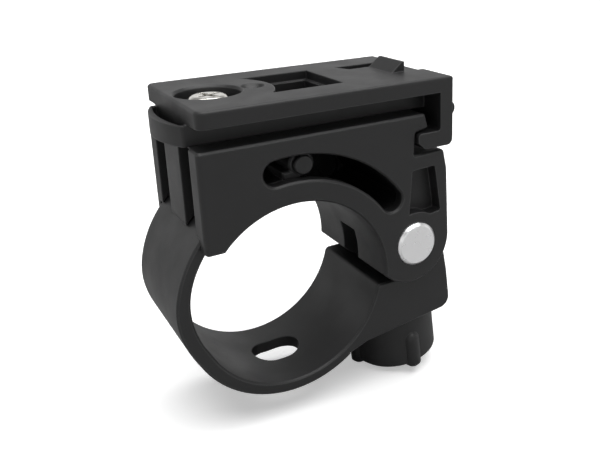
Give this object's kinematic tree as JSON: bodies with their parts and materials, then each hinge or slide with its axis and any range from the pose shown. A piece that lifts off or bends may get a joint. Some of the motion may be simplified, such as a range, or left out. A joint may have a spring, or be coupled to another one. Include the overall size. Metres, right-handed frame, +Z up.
{
  "type": "bicycle lamp mount",
  "caption": "Clip-on bicycle lamp mount: a hollow saddle and hinged-open clamping hoop grip a round bar, closed by a swing bolt and ribbed knob under a latching lamp rail plate.",
  "frame": {"origin": "middle of the clamp bore, on its axis and halfway across the mount", "axes": "+Z up through the top plate, X along the lamp rail towards the hook end, Y along the bar"},
  "size_m": [0.0582, 0.0282, 0.0641],
  "materials": {
    "saddle_plastic": "matte moulded",
    "hoop_plastic": "matte moulded",
    "tail_pin_plastic": "matte moulded",
    "pin_steel": "turned satin",
    "stud_steel": "zinc satin",
    "knob_plastic": "matte moulded",
    "insert_brass": "machined",
    "washer_steel": "zinc satin",
    "plate_plastic": "matte moulded",
    "screw_nickel": "nickel plated",
    "plate_washer_steel": "zinc satin",
    "nut_steel": "zinc satin"
  },
  "bodies": {
    "saddle_body": {"saddle": "saddle_plastic", "top_plate": "plate_plastic", "plate_screw": "screw_nickel", "plate_washer": "plate_washer_steel", "plate_nut": "nut_steel"},
    "hoop_body": {"hoop": "hoop_plastic", "tail_pin": "tail_pin_plastic"},
    "bolt_body": {"hinge_pin": "pin_steel", "swing_stud": "stud_steel"},
    "washer_body": {"knob_washer": "washer_steel"},
    "knob_body": {"knob": "knob_plastic", "knob_insert": "insert_brass"}
  },
  "joints": [
    {"name": "hoop_slide", "type": "hinge", "parent": "saddle_body", "child": "hoop_body", "pos_m": [0, 0, 0], "axis": [0, 1, 0], "range_deg": [0, 9]},
    {"name": "bolt_swing", "type": "hinge", "parent": "saddle_body", "child": "bolt_body", "pos_m": [0.0242, 0, 0.0041], "axis": [0, -1, 0], "range_deg": [0, 27]},
    {"name": "knob_travel", "type": "slide", "parent": "bolt_body", "child": "washer_body", "axis": [0.0976, 0, -0.9952], "range_m": [0, 0.0081]},
    {"name": "knob_turn", "type": "hinge", "parent": "washer_body", "child": "knob_body", "pos_m": [0.0242, 0, 0.0041], "axis": [0.0976, 0, -0.9952], "continuous": true}
  ],
  "couplings": [
    {"joint": "bolt_swing", "follows": "hoop_slide", "ratio": 3},
    {"joint": "knob_travel", "follows": "hoop_slide", "m_per_rad": 0.05157}
  ]
}
